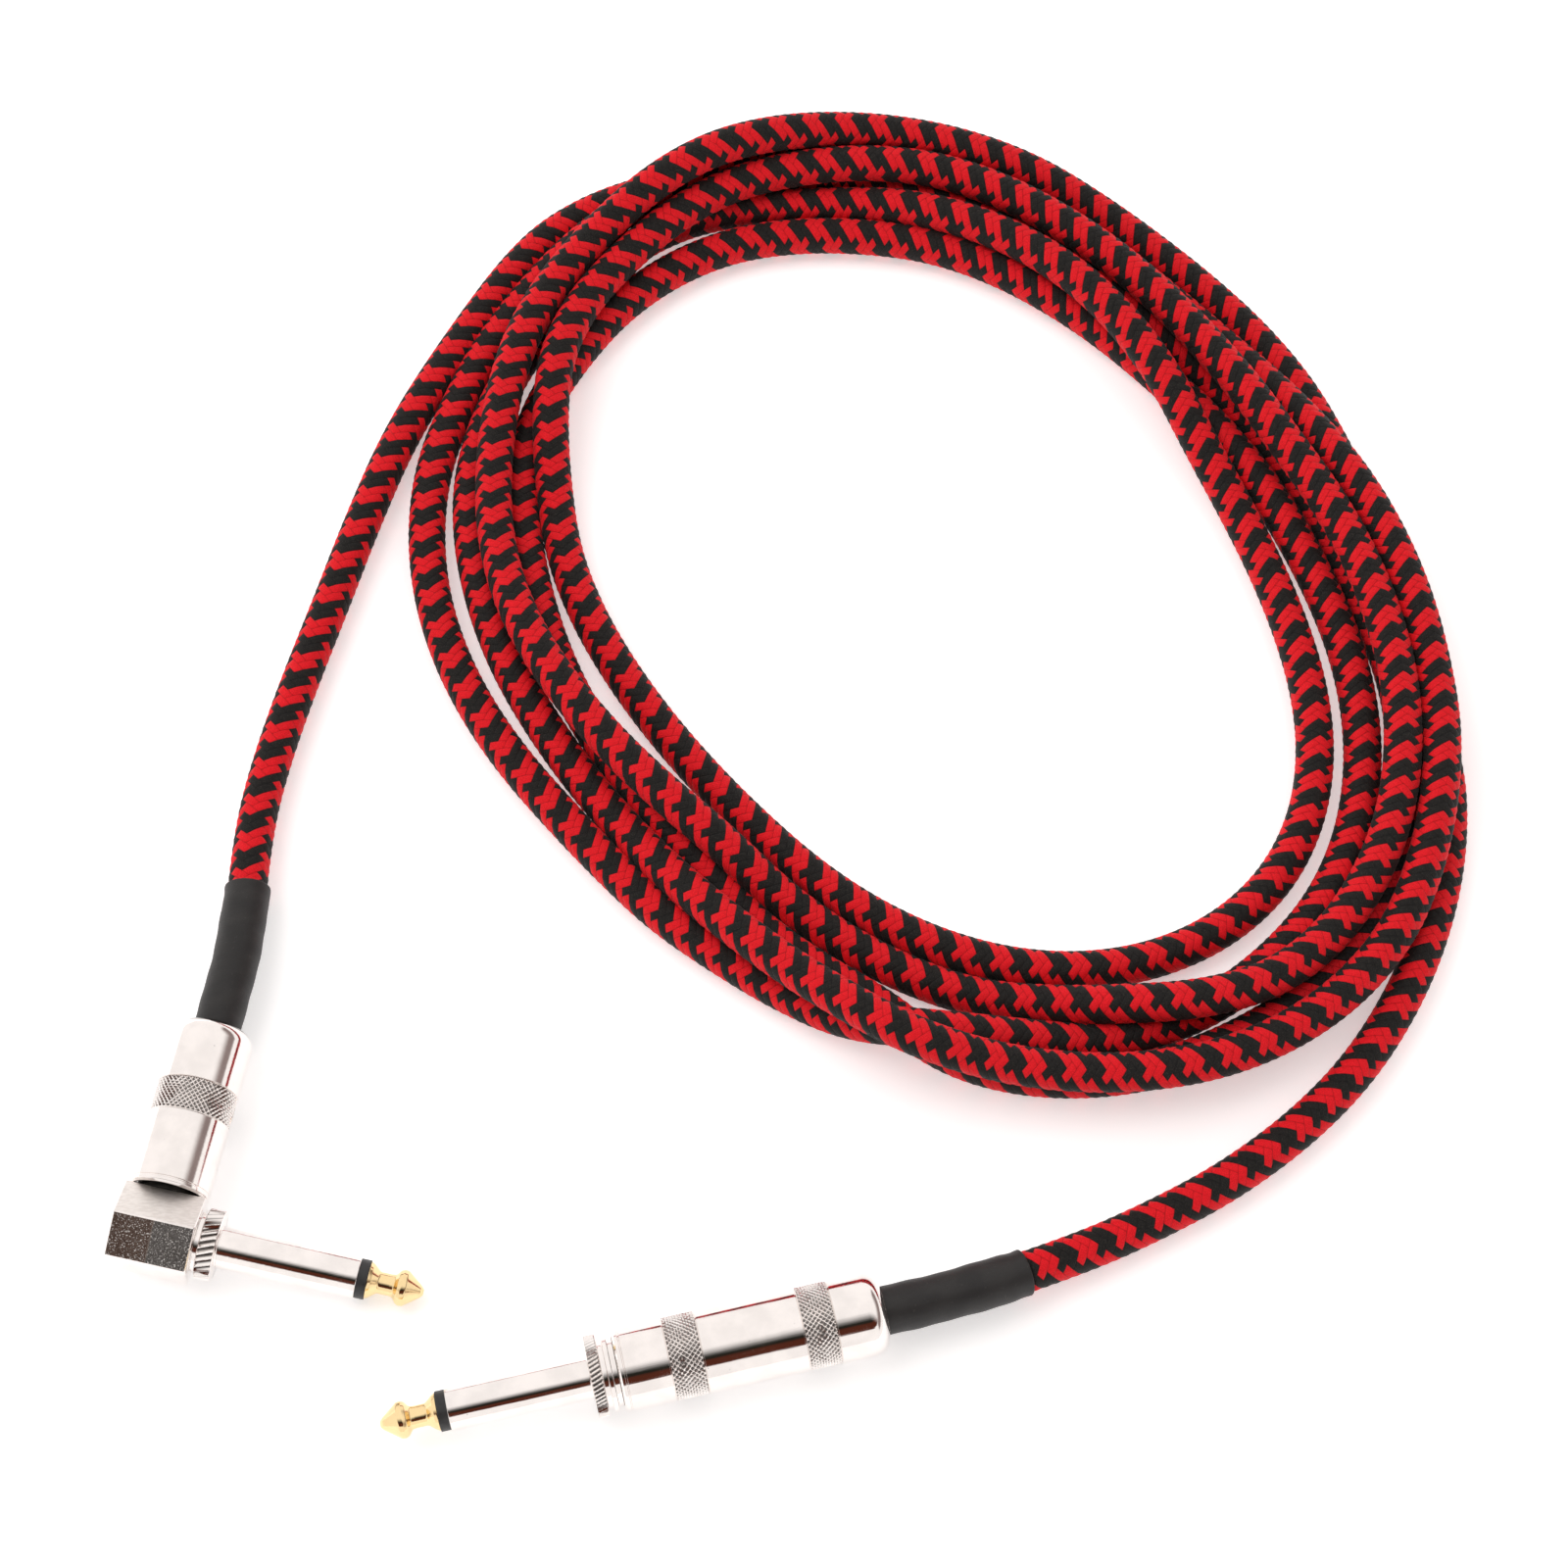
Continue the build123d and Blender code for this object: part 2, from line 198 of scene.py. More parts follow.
class Value:
    """A number in a node tree, so that a pattern reads as a formula."""

    def __init__(self, tree, socket):
        self.tree = tree
        self.socket = socket

    def op(self, kind, *others):
        node = self.tree.nodes.new("ShaderNodeMath")
        node.operation = kind
        for place, item in zip(node.inputs, (self, *others)):
            if isinstance(item, Value):
                self.tree.links.new(item.socket, place)
            else:
                place.default_value = item
        return Value(self.tree, node.outputs[0])

    def __add__(self, other):
        return self.op("ADD", other)

    def __sub__(self, other):
        return self.op("SUBTRACT", other)

    def __mul__(self, other):
        return self.op("MULTIPLY", other)

    def power(self, other):
        return self.op("POWER", other)

    def floor(self):
        return self.op("FLOOR")

    def fract(self):
        return self.op("FRACT")

    def modulo(self, other):
        return self.op("FLOORED_MODULO", other)

    def below(self, other):
        return self.op("LESS_THAN", other)

    def above(self, other):
        return self.op("GREATER_THAN", other)

    def sine(self):
        return self.op("SINE")

    def size(self):
        return self.op("ABSOLUTE")

    def smooth(self, low, high, start=0.0, end=1.0):
        """Goes from start to end as the number goes from low to high."""
        node = self.tree.nodes.new("ShaderNodeMapRange")
        node.interpolation_type = "SMOOTHSTEP"
        self.tree.links.new(self.socket, node.inputs["Value"])
        for name, item in zip(("From Min", "From Max", "To Min", "To Max"), (low, high, start, end)):
            node.inputs[name].default_value = item
        return Value(self.tree, node.outputs["Result"])

    def choose(self, when_one, when_zero):
        return when_one * self + when_zero * (self * -1.0 + 1.0)


class Finish:
    """A Principled material and the nodes that feed it. Patterns are in millimetres."""

    def __init__(self, name, **constants):
        self.material = bpy.data.materials.new(name)
        self.material.use_nodes = True
        self.tree = self.material.node_tree
        self.shader = self.tree.nodes["Principled BSDF"]
        for socket, value in constants.items():
            self.shader.inputs[socket.replace("_", " ")].default_value = value
        place = self.tree.nodes.new("ShaderNodeTexCoord")
        self.place = place.outputs["Object"]

    def scaled(self, stretch):
        node = self.tree.nodes.new("ShaderNodeMapping")
        self.tree.links.new(self.place, node.inputs["Vector"])
        node.inputs["Scale"].default_value = [s / MM for s in stretch]
        return node.outputs["Vector"]

    def noise(self, size, detail=3.0, stretch=(1, 1, 1)):
        """Noise with features about this many millimetres wide."""
        node = self.tree.nodes.new("ShaderNodeTexNoise")
        self.tree.links.new(self.scaled(stretch), node.inputs["Vector"])
        node.inputs["Scale"].default_value = 1 / size
        node.inputs["Detail"].default_value = detail
        return Value(self.tree, node.outputs["Fac"])

    def cells(self, size, output="Distance"):
        node = self.tree.nodes.new("ShaderNodeTexVoronoi")
        self.tree.links.new(self.scaled((1, 1, 1)), node.inputs["Vector"])
        node.inputs["Scale"].default_value = 1 / size
        return Value(self.tree, node.outputs[output])

    def along(self, axis, origin):
        """Millimetres along an axis of the row frame from a point, both in metres."""
        move = self.tree.nodes.new("ShaderNodeVectorMath")
        move.operation = "SUBTRACT"
        self.tree.links.new(self.place, move.inputs[0])
        move.inputs[1].default_value = origin
        node = self.tree.nodes.new("ShaderNodeVectorMath")
        node.operation = "DOT_PRODUCT"
        self.tree.links.new(move.outputs[0], node.inputs[0])
        node.inputs[1].default_value = axis
        return Value(self.tree, node.outputs["Value"]) * (1 / MM)

    def hollow(self):
        """1 at the bottom of a piece's pits and grooves and inside its bores, where shade is painted."""
        node = self.tree.nodes.new("ShaderNodeAttribute")
        node.attribute_name = "hollow"
        return Value(self.tree, node.outputs["Fac"])

    def mix(self, factor, first, second):
        node = self.tree.nodes.new("ShaderNodeMix")
        node.data_type = "RGBA"
        self.tree.links.new(factor.socket, node.inputs["Factor"])
        for place, item in ((node.inputs[6], first), (node.inputs[7], second)):
            if isinstance(item, bpy.types.NodeSocket):
                self.tree.links.new(item, place)
            else:
                place.default_value = (*item, 1.0)
        return node.outputs[2]

    def colour(self, socket):
        self.tree.links.new(socket, self.shader.inputs["Base Color"])

    def roughness(self, value):
        self.tree.links.new(value.socket, self.shader.inputs["Roughness"])

    def bump(self, height, depth, strength=1.0):
        """Relief of this many millimetres."""
        node = self.tree.nodes.new("ShaderNodeBump")
        node.inputs["Distance"].default_value = depth * MM
        node.inputs["Strength"].default_value = strength
        self.tree.links.new(height.socket, node.inputs["Height"])
        self.tree.links.new(node.outputs["Normal"], self.shader.inputs["Normal"])


def braid_finish():
    """Sixteen carriers, eight each way, two over and two under, in pairs of red and charcoal, with painted shade
    between the yarns.
    """
    finish = Finish("braid", Sheen_Weight=0.06, Sheen_Roughness=0.4, Specular_IOR_Level=0.22)
    node = finish.tree.nodes.new("ShaderNodeUVMap")
    node.uv_map = "braid"
    split = finish.tree.nodes.new("ShaderNodeSeparateXYZ")
    finish.tree.links.new(node.outputs["UV"], split.inputs[0])
    around = Value(finish.tree, split.outputs["X"])
    along = Value(finish.tree, split.outputs["Y"])
    first = around + along
    second = around - along
    pair = (first.floor() + second.floor()).modulo(4.0)
    first_on_top = pair.below(1.5)
    run_first = (first.floor() + second).modulo(4.0)
    run_second = (first + second.floor()).modulo(4.0) - 2.0
    run = first_on_top.choose(run_first, run_second)
    across = first_on_top.choose(first.fract(), second.fract())
    number = first_on_top.choose(first.floor(), second.floor())
    length = first_on_top.choose(second, first)
    red = number.modulo(4.0).below(1.5)

    float_height = (run * (math.pi / 2)).sine().op("MAXIMUM", 0.0).power(0.35)
    crown = (across * math.pi).sine().op("MAXIMUM", 0.0).power(0.35)
    yarns = (across * (math.pi * 4)).sine().size()
    plies = ((length * 5.0 + across * 4.0) * math.pi).sine().size()
    fuzz = finish.noise(0.16, 4.0)
    patches = finish.noise(9.0, 2.0)
    height = float_height * crown + yarns * 0.10 + plies * 0.05 + fuzz * 0.30
    # painted shade: 0 in the hollows between the yarns' crowns, 1 on the crowns
    hollow = (float_height * crown).smooth(0.0, 0.55)

    bright_red = finish.mix(fuzz.smooth(0.35, 0.7), (0.64, 0.0035, 0.009), (0.86, 0.012, 0.022))
    # painted shade: a darker red for the hollows, and near black for the charcoal's hollows
    shaded_red = finish.mix(patches.smooth(0.3, 0.7), (0.36, 0.0015, 0.004), (0.46, 0.002, 0.006))
    charcoal = finish.mix(fuzz.smooth(0.48, 0.75), (0.0085, 0.0078, 0.0075), (0.040, 0.036, 0.031))
    shade = finish.mix(yarns.smooth(0.1, 0.8), (0.003, 0.003, 0.003), (0.006, 0.0055, 0.0055))
    reds = finish.mix(hollow, shaded_red, bright_red)
    blacks = finish.mix(hollow, shade, charcoal)
    finish.colour(finish.mix(red, blacks, reds))
    finish.roughness(fuzz.smooth(0.3, 0.7, 0.62, 0.85))
    finish.bump(height, 0.16)
    return finish.material


def metal(name, colour, roughness, wear=1.0, scratch=(0.05, 1, 1), depth=0.004):
    """Polished plate: faint mottling, hairline scratches, a few specks, uneven gloss and painted shade in its
    pits, grooves and bores.
    """
    finish = Finish(name, Metallic=1.0)
    cloud = finish.noise(4.0, 3.0)
    hair = finish.noise(0.22, 2.0, scratch)
    specks = finish.cells(1.7).below(0.055) * finish.noise(6.0).smooth(0.5, 0.6)
    dull = tuple(c * (1 - 0.10 * wear) for c in colour)
    plate = finish.mix(cloud.smooth(0.3, 0.7), dull, colour)
    plate = finish.mix(specks * (0.5 * wear), plate, tuple(c * 0.35 for c in colour))
    # painted shade: the pits, grooves and bores darkened towards near black
    plate = finish.mix(finish.hollow().smooth(0.45, 1.0) * 0.8, plate, (0.05, 0.045, 0.04))
    finish.colour(plate)
    haze = cloud.smooth(0.35, 0.75, 0.0, 0.05 * wear)
    finish.roughness(hair.smooth(0.5, 0.8, roughness, roughness + 0.06 * wear) + haze)
    finish.bump(hair + specks * -1.5, depth)
    return finish.material


def satin_face():
    """The head's brushed face: faint streaks across it."""
    finish = Finish("head_satin", Metallic=1.0)
    streak = finish.noise(0.35, 4.0, (0.12, 1.0, 1.0))
    cloud = finish.noise(5.0)
    finish.colour(finish.mix(streak.smooth(0.3, 0.75), (0.80, 0.755, 0.72), (0.93, 0.89, 0.86)))
    finish.roughness(cloud.smooth(0.3, 0.7, 0.46, 0.54))
    finish.bump(streak, 0.012)
    return finish.material


def reflection_painted_face(axis, origin):
    """The head's rough face: grainy cast metal with its parting line, in painted reflection of the dark room, dark
    grey and brown, with bright specks for painted glints.
    """
    finish = Finish("head_painted_reflection", Metallic=1.0)
    grain = finish.cells(0.34)
    pits = finish.noise(0.22, 5.0)
    warmth = finish.noise(7.0)
    across = finish.along(axis, origin)
    line = across.size().smooth(0.05, 0.13, 1.0, 0.0)
    far_half = across.smooth(-0.1, 0.1, 1.0, 0.0)
    # painted reflection of the dark room: dark grey on one half of the face, brown on the other
    grey = finish.mix(warmth.smooth(0.4, 0.7), (0.115, 0.108, 0.102), (0.150, 0.142, 0.136))
    brown = finish.mix(warmth.smooth(0.4, 0.7), (0.100, 0.068, 0.055), (0.130, 0.095, 0.080))
    base = finish.mix(far_half, grey, brown)
    # painted glints: bright specks
    base = finish.mix(pits.smooth(0.56, 0.66), base, (0.72, 0.70, 0.68))
    finish.colour(finish.mix(line * 0.5, base, (0.30, 0.25, 0.22)))
    finish.roughness(pits.smooth(0.3, 0.7, 0.25, 0.42))
    finish.bump(grain * 0.9 + pits * 0.9 + line * 0.8, 0.12)
    return finish.material


def shaded_thread():
    """The head's screw where it leaves the head: painted shade of the gap under the barrel, near black."""
    finish = Finish("shaded_thread", Metallic=0.6)
    shade_mottle = finish.noise(0.8, 4.0)
    finish.colour(finish.mix(shade_mottle.smooth(0.3, 0.7), (0.012, 0.011, 0.010), (0.035, 0.031, 0.027)))
    finish.roughness(shade_mottle.smooth(0.3, 0.7, 0.35, 0.55))
    finish.bump(shade_mottle, 0.01)
    return finish.material


def shrink_finish():
    """Heat-shrink: matte black polyolefin with soft dents and a faint grain."""
    finish = Finish("heat_shrink", IOR=1.47)
    dents = finish.noise(2.6, 2.0, (0.5, 1, 1))
    grain = finish.noise(0.12, 3.0)
    dust = finish.noise(0.5, 5.0).smooth(0.64, 0.72)
    base = finish.mix(dents.smooth(0.3, 0.7), (0.010, 0.0092, 0.0092), (0.018, 0.0165, 0.016))
    finish.colour(finish.mix(dust * 0.4, base, (0.050, 0.045, 0.041)))
    finish.roughness(grain.smooth(0.3, 0.7, 0.42, 0.58) + dents * 0.06)
    finish.bump(dents * 1.0 + grain * 0.12, 0.10)
    return finish.material


def plain_finish(name, dark, light, roughness, size=1.2, depth=0.02, **constants):
    """Moulded plastic or fibre: two close shades, uneven gloss and a fine grain."""
    finish = Finish(name, **constants)
    cloud = finish.noise(size, 4.0)
    grain = finish.noise(0.15, 3.0)
    finish.colour(finish.mix(cloud.smooth(0.3, 0.7), dark, light))
    finish.roughness(grain.smooth(0.3, 0.7, roughness, roughness + 0.15))
    finish.bump(grain + cloud, depth)
    return finish.material


def inner_braid():
    """The cable's jacket where the plug hides it: red and charcoal flecks."""
    finish = Finish("braid_inside", Roughness=0.8)
    flecks = finish.cells(1.5, "Color").above(0.5)
    fibre = finish.noise(0.2, 4.0)
    reds = finish.mix(fibre.smooth(0.3, 0.7), (0.45, 0.004, 0.008), (0.75, 0.012, 0.018))
    blacks = finish.mix(fibre.smooth(0.3, 0.7), (0.012, 0.011, 0.011), (0.04, 0.037, 0.034))
    finish.colour(finish.mix(flecks, blacks, reds))
    finish.bump(fibre, 0.1)
    return finish.material


def make_world():
    """A white studio with the dark part of the room behind the camera, and a grey wall on the right."""
    world = bpy.data.worlds.new("studio")
    bpy.context.scene.world = world
    world.use_nodes = True
    tree = world.node_tree
    tree.nodes.clear()
    place = tree.nodes.new("ShaderNodeTexCoord")
    split = tree.nodes.new("ShaderNodeSeparateXYZ")
    tree.links.new(place.outputs["Generated"], split.inputs[0])
    up = Value(tree, split.outputs["Z"])
    side = Value(tree, split.outputs["X"])
    way = Value(tree, split.outputs["Y"])
    # towards the camera, along the floor
    front = side * -0.22 + way * -0.97
    # the room is dark above about 34 degrees on that side, the wall grey lower down on the right
    room = up.smooth(0.54, 0.58) * front.smooth(0.04, 0.50)
    wall = side.smooth(0.55, 0.70) * up.smooth(0.20, 0.30) * up.smooth(0.45, 0.75, 0.8, 0.0)
    dark = room.op("MAXIMUM", wall)
    node = tree.nodes.new("ShaderNodeMix")
    node.data_type = "RGBA"
    tree.links.new(dark.socket, node.inputs["Factor"])
    node.inputs[6].default_value = STUDIO_WHITE
    shade = tree.nodes.new("ShaderNodeMix")
    shade.data_type = "RGBA"
    tree.links.new(up.smooth(0.76, 0.84).socket, shade.inputs["Factor"])
    shade.inputs[6].default_value = ROOM_BROWN
    shade.inputs[7].default_value = ROOM_BLACK
    tree.links.new(shade.outputs[2], node.inputs[7])
    studio = tree.nodes.new("ShaderNodeBackground")
    tree.links.new(node.outputs[2], studio.inputs["Color"])
    studio.inputs["Strength"].default_value = STUDIO_STRENGTH
    seen = tree.nodes.new("ShaderNodeBackground")
    seen.inputs["Color"].default_value = (1, 1, 1, 1)
    ray = tree.nodes.new("ShaderNodeLightPath")
    join = tree.nodes.new("ShaderNodeMixShader")
    tree.links.new(ray.outputs["Is Camera Ray"], join.inputs[0])
    tree.links.new(studio.outputs[0], join.inputs[1])
    tree.links.new(seen.outputs[0], join.inputs[2])
    out = tree.nodes.new("ShaderNodeOutputWorld")
    tree.links.new(join.outputs[0], out.inputs["Surface"])


def make_light(name, location, target, size, power):
    data = bpy.data.lights.new(name, "AREA")
    data.shape = "DISK"
    data.size = size
    data.energy = power
    light = bpy.data.objects.new(name, data)
    light.location = location
    # not mirrored in the metal
    light.visible_glossy = False
    way = Vector(target) - Vector(location)
    light.rotation_mode = "QUATERNION"
    light.rotation_quaternion = way.to_track_quat("-Z", "Y")
    bpy.context.scene.collection.objects.link(light)


def make_floor():
    finish = Finish("floor", Roughness=0.6, Emission_Color=(1, 1, 1, 1), Emission_Strength=FLOOR_GLOW)
    cloud = finish.noise(60.0, 2.0)
    finish.colour(finish.mix(cloud, (0.90, 0.90, 0.90), (0.92, 0.92, 0.92)))
    half = FLOOR_HALF
    mesh = bpy.data.meshes.new("floor")
    corners = [(-half, -half, 0), (half, -half, 0), (half, half, 0), (-half, half, 0)]
    mesh.from_pydata(corners, [], [(0, 1, 2, 3)])
    floor = bpy.data.objects.new("floor", mesh)
    floor.location.z = -0.0002
    mesh.materials.append(finish.material)
    bpy.context.scene.collection.objects.link(floor)


# Cable

def catmull(values, at):
    """A smooth line through evenly spaced values."""
    values = np.array(values, float)
    last = len(values) - 1
    start = np.clip(np.floor(at).astype(int), 0, last - 1)
    part = at - start
    before = values[np.maximum(start - 1, 0)]
    here = values[start]
    there = values[start + 1]
    after = values[np.minimum(start + 2, last)]
    bend = (2 * before - 5 * here + 4 * there - after) * part**2
    twist = (3 * here - before - 3 * there + after) * part**3
    return 0.5 * (2 * here + (there - before) * part + bend + twist)


def coil_turns():
    """The coil's turns before they settle, from the angle plug's side to the straight plug's."""
    travelled = np.arange(COIL_FIRST, COIL_LAST, 3.0)
    station = travelled / 45
    angle = np.radians(180 - travelled - COIL_TURN)
    long_half, short_half = COIL_HALVES
    turned = angle - COIL_HEADING
    radius = long_half * short_half / np.hypot(short_half * np.cos(turned), long_half * np.sin(turned))
    radius = radius + catmull(OFFSETS, station)
    level = np.interp(station, np.arange(len(LEVELS)), LEVELS)
    x = COIL_CENTRE[0] + radius * np.cos(angle)
    y = COIL_CENTRE[1] + radius * np.sin(angle)
    return np.stack([x, y, CABLE_D * (0.51 + 1.05 * level)], 1)


def spaced(points, step):
    """The same line with a point at every step."""
    points = np.array(points, float)
    travelled = np.r_[0, np.cumsum(np.linalg.norm(np.diff(points, axis=0), axis=1))]
    count = int(round(travelled[-1] / step))
    at = np.linspace(0, travelled[-1], count + 1)
    return np.stack([np.interp(at, travelled, points[:, axis]) for axis in range(3)], 1)


def ringed(line, step):
    """Points for the tube's rings: the braid is stretched a little towards the plugs."""
    travelled = np.r_[0, np.cumsum(np.linalg.norm(np.diff(line, axis=0), axis=1))]
    total = travelled[-1]
    rings = [0.0]
    while rings[-1] < total:
        from_end = min(rings[-1], total - rings[-1])
        stretch = 0.98 + 0.09 * math.exp(-(from_end / 0.12) ** 2)
        rings.append(rings[-1] + step * stretch)
    at = np.array(rings) * total / rings[-1]
    return np.stack([np.interp(at, travelled, line[:, axis]) for axis in range(3)], 1)


def settle(points, held, steps):
    """Lets the turns down on the floor and on each other. True in held keeps a point still."""
    points = points.copy()
    home = points[:, :2].copy()
    count = len(points)
    free = np.where(held, 0.0, 1.0)
    # pairs that can meet: not neighbours along the cable, and near each other from above
    first, second = np.triu_indices(count, 7)
    near = np.linalg.norm(home[first] - home[second], axis=1) < CABLE_D * 3.5
    first, second = first[near], second[near]
    for _ in range(steps):
        # sink a little, drift home, and even out the sideways shift and the height along the cable
        points[:, 2] -= 0.12 * free
        shift = (points[:, :2] - home) * 0.88
        shift[1:-1] += 0.45 * (0.5 * (shift[:-2] + shift[2:]) - shift[1:-1])
        points[:, :2] = home + shift * free[:, None]
        for _ in range(2):
            middle = 0.5 * (points[:-2, 2] + points[2:, 2])
            points[1:-1, 2] += 0.35 * (middle - points[1:-1, 2]) * free[1:-1]
        # push apart what touches
        for _ in range(3):
            apart = points[first] - points[second]
            distance = np.sqrt((apart**2).sum(1)) + 1e-9
            touching = distance < CABLE_D
            one, other = first[touching], second[touching]
            push = (CABLE_D - distance[touching]) / distance[touching] * 0.5
            move = apart[touching] * push[:, None]
            total = np.zeros((count, 3))
            hits = np.zeros(count)
            np.add.at(total, one, move * free[one, None])
            np.add.at(total, other, -move * free[other, None])
            np.add.at(hits, one, 1)
            np.add.at(hits, other, 1)
            points += total / np.maximum(hits, 1)[:, None] * 1.3
        points[:, 2] = np.maximum(points[:, 2], CABLE_D * 0.505)
    return points


def cable_points():
    """Control points of the whole cable, from the angle plug's sleeve to the straight plug's."""
    coil = spaced(coil_turns(), 4.0)
    before = spaced([LEAD_ANGLE] + TAIL_ANGLE, 4.0)
    after = spaced(list(reversed(TAIL_STRAIGHT)) + [LEAD_STRAIGHT], 4.0)
    chain = np.concatenate([before, coil, after])
    held = np.ones(len(chain), bool)
    held[len(before):len(before) + len(coil)] = False
    steps = 400
    settled = settle(chain, held, steps)[len(before):len(before) + len(coil)]
    # every third point is enough to steer the spline
    turns = settled[2:-2:3]
    start = [EXIT_ANGLE, LEAD_ANGLE, *TAIL_ANGLE]
    end = [*reversed(TAIL_STRAIGHT), LEAD_STRAIGHT, EXIT_STRAIGHT]
    return np.concatenate([np.array(start), turns, np.array(end)])


def smooth_line(points):
    """Points in metres along the NURBS spline that these millimetre points control."""
    curve = bpy.data.curves.new("route", "CURVE")
    curve.dimensions = "3D"
    spline = curve.splines.new("NURBS")
    spline.points.add(len(points) - 1)
    for place, point in zip(spline.points, points):
        place.co = (*(point * MM), 1.0)
    spline.order_u = 3
    spline.use_endpoint_u = True
    spline.resolution_u = 10
    route = bpy.data.objects.new("route", curve)
    bpy.context.scene.collection.objects.link(route)
    bpy.context.view_layer.update()
    shape = route.evaluated_get(bpy.context.evaluated_depsgraph_get())
    mesh = bpy.data.meshes.new_from_object(shape)
    line = np.array([vertex.co[:] for vertex in mesh.vertices])
    bpy.data.objects.remove(route)
    bpy.data.meshes.remove(mesh)
    return line


def carried_frames(line):
    """Two directions across the line at each point, turned as little as possible along it."""
    way = np.gradient(line, axis=0)
    way /= np.linalg.norm(way, axis=1)[:, None]
    side = np.zeros_like(line)
    across = np.cross(way[0], (0, 0, 1))
    over = np.cross(way[0], across)
    current = across * math.cos(BRAID_TURN) + over * math.sin(BRAID_TURN)
    for index, direction in enumerate(way):
        current = current - direction * current.dot(direction)
        current /= np.linalg.norm(current)
        side[index] = current
    return side, np.cross(way, side)


def add_piece(name, vertices, faces, materials, body, replaced, hollows=None):
    """A mesh piece, given in metres, that rides on a body and stands for CAD nodes.

    hollows has a number for each vertex: 1 at the bottom of a pit or groove, where shade is painted.
    """
    mesh = bpy.data.meshes.new(name)
    mesh.from_pydata(vertices, [], faces)
    shape = bmesh.new()
    shape.from_mesh(mesh)
    bmesh.ops.recalc_face_normals(shape, faces=shape.faces)
    shape.to_mesh(mesh)
    shape.free()
    for material in materials:
        mesh.materials.append(material)
    mesh.polygons.foreach_set("use_smooth", [True] * len(mesh.polygons))
    if hollows is not None:
        layer = mesh.attributes.new("hollow", "FLOAT", "POINT")
        layer.data.foreach_set("value", hollows)
    piece = bpy.data.objects.new(name, mesh)
    bpy.context.scene.collection.objects.link(piece)
    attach(piece, body)
    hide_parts(*replaced)
    return piece


def make_cable(material):
    """The braided cable: a tube whose grid follows the braid, raised in the middle of each crossing."""
    line = smooth_line(cable_points())
    around = 2 * CARRIERS
    carrier = math.pi * CABLE_D / CARRIERS
    step = carrier / (2 * BRAID_SLOPE) * MM
    line = ringed(line, step)
    side, over = carried_frames(line)
    rings = len(line)
    angle = np.arange(around) / around * 2 * math.pi
    ring_number, place = np.meshgrid(np.arange(rings), np.arange(around), indexing="ij")
    low = (ring_number + place) % 2 == 0
    radius = (CABLE_D / 2 - np.where(low, BRAID_RELIEF, 0.0)) * MM
    across = side[:, None] * np.cos(angle)[None, :, None] + over[:, None] * np.sin(angle)[None, :, None]
    vertices = (line[:, None] + across * radius[:, :, None]).reshape(-1, 3)

    faces = []
    pattern = []
    for ring in range(rings - 1):
        for spot in range(around):
            after = (spot + 1) % around
            here, there = ring * around, (ring + 1) * around
            faces.append((here + spot, here + after, there + after, there + spot))
            for u, v in ((spot, ring), (spot + 1, ring), (spot + 1, ring + 1), (spot, ring + 1)):
                pattern += [u / 2, v / 2]
    for end in (0, rings - 1):
        faces.append(tuple(end * around + spot for spot in range(around)))
        pattern += [0.5, 0.5] * around

    mesh = bpy.data.meshes.new("cable")
    mesh.from_pydata(vertices.tolist(), [], faces)
    layer = mesh.uv_layers.new(name="braid")
    layer.data.foreach_set("uv", pattern)
    mesh.materials.append(material)
    mesh.polygons.foreach_set("use_smooth", [True] * len(mesh.polygons))
    cable = bpy.data.objects.new("cable", mesh)
    bpy.context.scene.collection.objects.link(cable)
    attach(cable, "cable")
    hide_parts("cord_tail_straight", "cord_coil", "cord_tail_angle")


# Turned pieces

def rounded(outline, closed=True, steps=3):
    """Points along an outline of (x, r, fillet) corners.

    Each corner gets an arc, with a point close on each side of it.
    """
    corners = [Vector((corner[0], corner[1])) for corner in outline]
    sizes = [corner[2] if len(corner) > 2 else 0.0 for corner in outline]
    count = len(corners)
    points = []
    for index, (corner, size) in enumerate(zip(corners, sizes)):
        last = not closed and index in (0, count - 1)
        if last or size <= 0:
            points.append(tuple(corner))
            continue
        back = corners[index - 1] - corner
        ahead = corners[(index + 1) % count] - corner
        half = back.angle(ahead) / 2
        reach = min(size / math.tan(half), 0.48 * back.length, 0.48 * ahead.length)
        start = corner + back.normalized() * reach
        end = corner + ahead.normalized() * reach
        guard = min(0.05, 0.3 * (back.length / 2 - reach), 0.3 * (ahead.length / 2 - reach))
        if guard > 0.005:
            points.append(tuple(start + back.normalized() * guard))
        for step in range(steps + 1):
            part = step / steps
            middle = corner * (2 * part * (1 - part))
            points.append(tuple(start * (1 - part) ** 2 + middle + end * part**2))
        if guard > 0.005:
            points.append(tuple(end + ahead.normalized() * guard))
    return points


def run(start, end, radius, step):
    """Close points along a cylinder, for relief to stand on."""
    count = max(2, int(round((end - start) / step)))
    return [(start + (end - start) * index / count, radius) for index in range(count + 1)]


